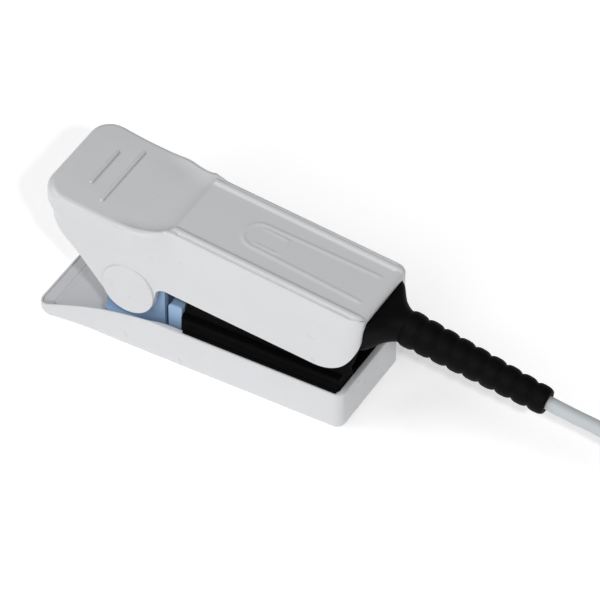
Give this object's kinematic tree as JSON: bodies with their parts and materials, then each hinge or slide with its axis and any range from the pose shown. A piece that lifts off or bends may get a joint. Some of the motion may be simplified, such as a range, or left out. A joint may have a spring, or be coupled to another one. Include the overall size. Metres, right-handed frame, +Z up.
{
  "type": "fingertip pulse oximeter",
  "caption": "Finger clip oximetry sensor with two sprung jaws, soft pads, ribbed strain relief, cable and connector.",
  "frame": {"origin": "on the flat underside that the clip stands on, midway across it and 38.6 mm ahead of the lower shell's rear edge, which is within 1 mm of the middle of the clip without its cable", "axes": "+X from the hinge end towards the finger opening and the cable, +Y to the left of that, +Z up"},
  "size_m": [0.2944, 0.031, 0.0358],
  "materials": {
    "shell_plastic": "satin moulded, near white",
    "cap_plastic": "satin moulded, near white",
    "frame_plastic": "moulded, pale blue-grey",
    "dark_plastic": "moulded, black",
    "pad_rubber": "matt black silicone",
    "relief_rubber": "matt black moulded",
    "cable_jacket": "pale grey soft jacket",
    "circuit_board": "green solder mask",
    "sensor_package": "dark moulded package",
    "led_package": "white moulded package",
    "clear_window": "clear moulded lens",
    "lead_insulation": "thin insulated wire",
    "spring_steel": "bright drawn wire",
    "steel": "ground and bright",
    "tie_strap": "black hook and loop band",
    "hood_plastic": "fine textured, pale grey",
    "plated_steel": "nickel plated, pressed",
    "insulator_plastic": "moulded, black",
    "contact_brass": "gold flashed"
  },
  "bodies": {
    "lower_jaw": {"lower_shell": "shell_plastic", "lower_frame": "frame_plastic", "lower_frame_screws": "steel", "lower_pad": "pad_rubber", "detector_board": "circuit_board", "photodiode": "sensor_package", "detector_window": "clear_window", "detector_leads": "lead_insulation", "torsion_spring": "spring_steel", "cable_lead": "cable_jacket", "cable_hank": "cable_jacket", "cable_tail": "cable_jacket", "cable_tie": "tie_strap", "plug_relief": "hood_plastic", "plug_hood_lower": "hood_plastic", "plug_hood_upper": "hood_plastic", "plug_shell": "plated_steel", "plug_insulator": "insulator_plastic", "plug_contacts": "contact_brass"},
    "upper_jaw": {"upper_shell": "shell_plastic", "upper_frame": "dark_plastic", "upper_frame_screws": "steel", "upper_pad": "pad_rubber", "emitter_board": "circuit_board", "emitter_leds": "led_package", "emitter_window": "clear_window", "emitter_leads": "lead_insulation", "strain_relief": "relief_rubber", "cable_end": "cable_jacket", "cable_clamp": "dark_plastic", "hinge_pin": "steel", "hinge_cap_left": "cap_plastic", "hinge_cap_right": "cap_plastic"}
  },
  "joints": [
    {"name": "jaw_hinge", "type": "hinge", "parent": "lower_jaw", "child": "upper_jaw", "pos_m": [-0.01645, 0, 0.01555], "axis": [0, -1, 0], "range_deg": [0, 30], "stiffness_Nm_per_rad": 0.15, "springref_deg": -20.05, "deforming": ["torsion_spring", "detector_leads", "cable_lead"]}
  ]
}
